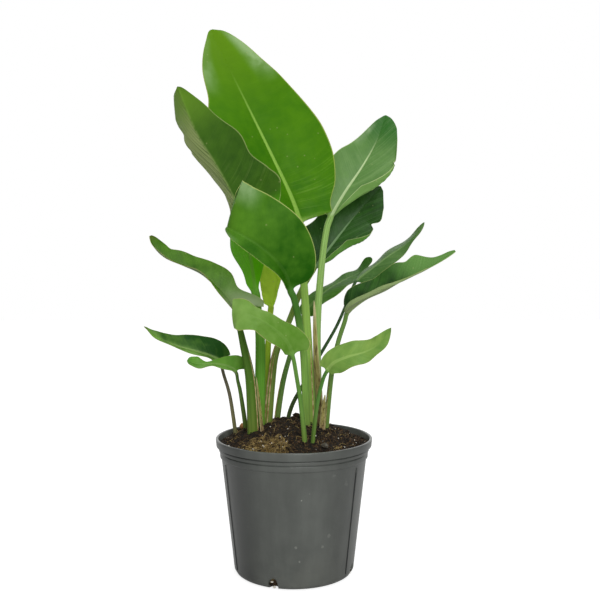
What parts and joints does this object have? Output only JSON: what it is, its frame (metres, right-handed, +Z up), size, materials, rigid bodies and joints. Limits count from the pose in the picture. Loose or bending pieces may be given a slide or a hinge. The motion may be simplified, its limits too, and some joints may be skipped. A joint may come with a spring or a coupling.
{
  "type": "potted bird of paradise",
  "caption": "Young bird of paradise plant with broad upright leaves on long stems, standing in a round moulded nursery pot filled with potting mix.",
  "frame": {"origin": "centre of the pot's flat base, where it rests", "axes": "+Z up along the pot's axis, -Y the front as in the picture, +X to the viewer's right"},
  "size_m": [0.4489, 0.2582, 0.8221],
  "materials": {
    "pot_plastic": "satin",
    "potting_mix": "matte",
    "leaf_green": "satin",
    "leaf_dark": "satin",
    "leaf_pale": "satin",
    "leaf_young": "satin",
    "dry_sheath": "matte"
  },
  "bodies": {
    "root": {"pot": "pot_plastic", "potting_soil": "potting_mix", "leaf_tall_centre": "leaf_green", "leaf_left_back": "leaf_dark", "leaf_front_centre": "leaf_green", "leaf_right_top": "leaf_pale", "leaf_right_second": "leaf_dark", "leaf_left_long": "leaf_green", "leaf_far_left": "leaf_dark", "leaf_small_left": "leaf_pale", "leaf_front_lower": "leaf_pale", "leaf_young": "leaf_young", "leaf_right_back": "leaf_green", "leaf_right_upper": "leaf_dark", "leaf_right_lower": "leaf_dark", "leaf_right_small": "leaf_pale", "dry_sheath_tall": "dry_sheath", "dry_sheath_right": "dry_sheath", "dry_sheath_left": "dry_sheath"}
  },
  "joints": []
}
